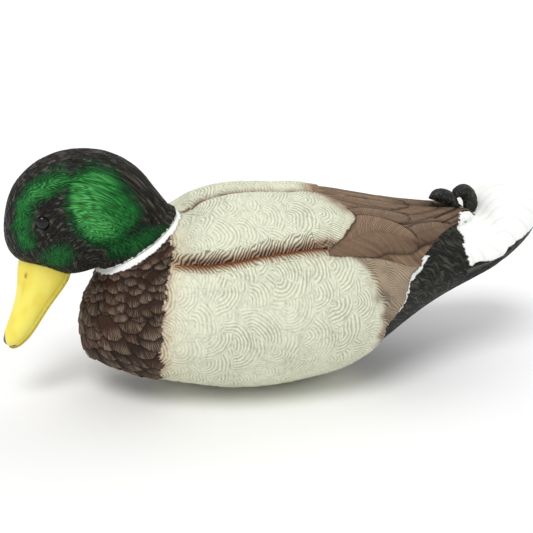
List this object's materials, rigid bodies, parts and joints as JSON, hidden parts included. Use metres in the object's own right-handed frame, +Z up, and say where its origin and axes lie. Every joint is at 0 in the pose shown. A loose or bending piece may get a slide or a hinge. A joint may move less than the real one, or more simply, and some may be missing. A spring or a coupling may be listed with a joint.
{
  "type": "floating duck decoy",
  "caption": "Floating mallard drake decoy: hollow moulded body with bonded wings and tail, a turning head on a plug-in neck, ballast, line lug and drain plug.",
  "frame": {"origin": "middle of the flat patch on the belly that the decoy stands on", "axes": "+X forwards towards the bill, +Y the duck's left, +Z up"},
  "size_m": [0.4441, 0.1841, 0.1927],
  "materials": {
    "body_moulding": "sculpted feather relief, painted",
    "wing_moulding": "sculpted feather relief, painted",
    "tail_moulding": "painted white",
    "curl_rubber": "soft black",
    "socket_plastic": "moulded",
    "brass_bush": "turned",
    "lug_plastic": "moulded",
    "tray_plastic": "moulded",
    "ballast_iron": "as cast",
    "strap_steel": "formed strip",
    "screw_steel": "plated",
    "plug_plastic": "moulded",
    "gasket_rubber": "moulded",
    "head_moulding": "satin green over near-black, fine relief",
    "bill_moulding": "satin yellow",
    "eye_plastic": "polished",
    "spigot_plastic": "moulded",
    "ring_steel": "sprung wire strip"
  },
  "bodies": {
    "body": {"body_shell": "body_moulding", "left_wing": "wing_moulding", "right_wing": "wing_moulding", "tail_fan": "tail_moulding", "curl_feather_front": "curl_rubber", "curl_feather_rear": "curl_rubber", "neck_socket": "socket_plastic", "drain_bush": "brass_bush", "line_lug": "lug_plastic", "ballast_tray": "tray_plastic", "ballast_weight": "ballast_iron", "ballast_strap_front": "strap_steel", "ballast_strap_rear": "strap_steel", "ballast_screws": "screw_steel"},
    "head": {"head_shell": "head_moulding", "upper_bill": "bill_moulding", "lower_bill": "bill_moulding", "left_eye": "eye_plastic", "right_eye": "eye_plastic", "neck_spigot": "spigot_plastic", "snap_ring": "ring_steel", "neck_o_ring": "gasket_rubber", "spigot_screws": "screw_steel"},
    "plug": {"drain_plug": "plug_plastic", "drain_gasket": "gasket_rubber"}
  },
  "joints": [
    {"name": "head_swivel", "type": "hinge", "parent": "body", "child": "head", "pos_m": [0.0766, 0, 0.1197], "axis": [0.5299, 0, 0.848], "range_deg": [-60, 60]},
    {"name": "drain_plug_pull", "type": "slide", "parent": "body", "child": "plug", "axis": [0, 0, -1], "range_m": [0, 0.03]}
  ]
}
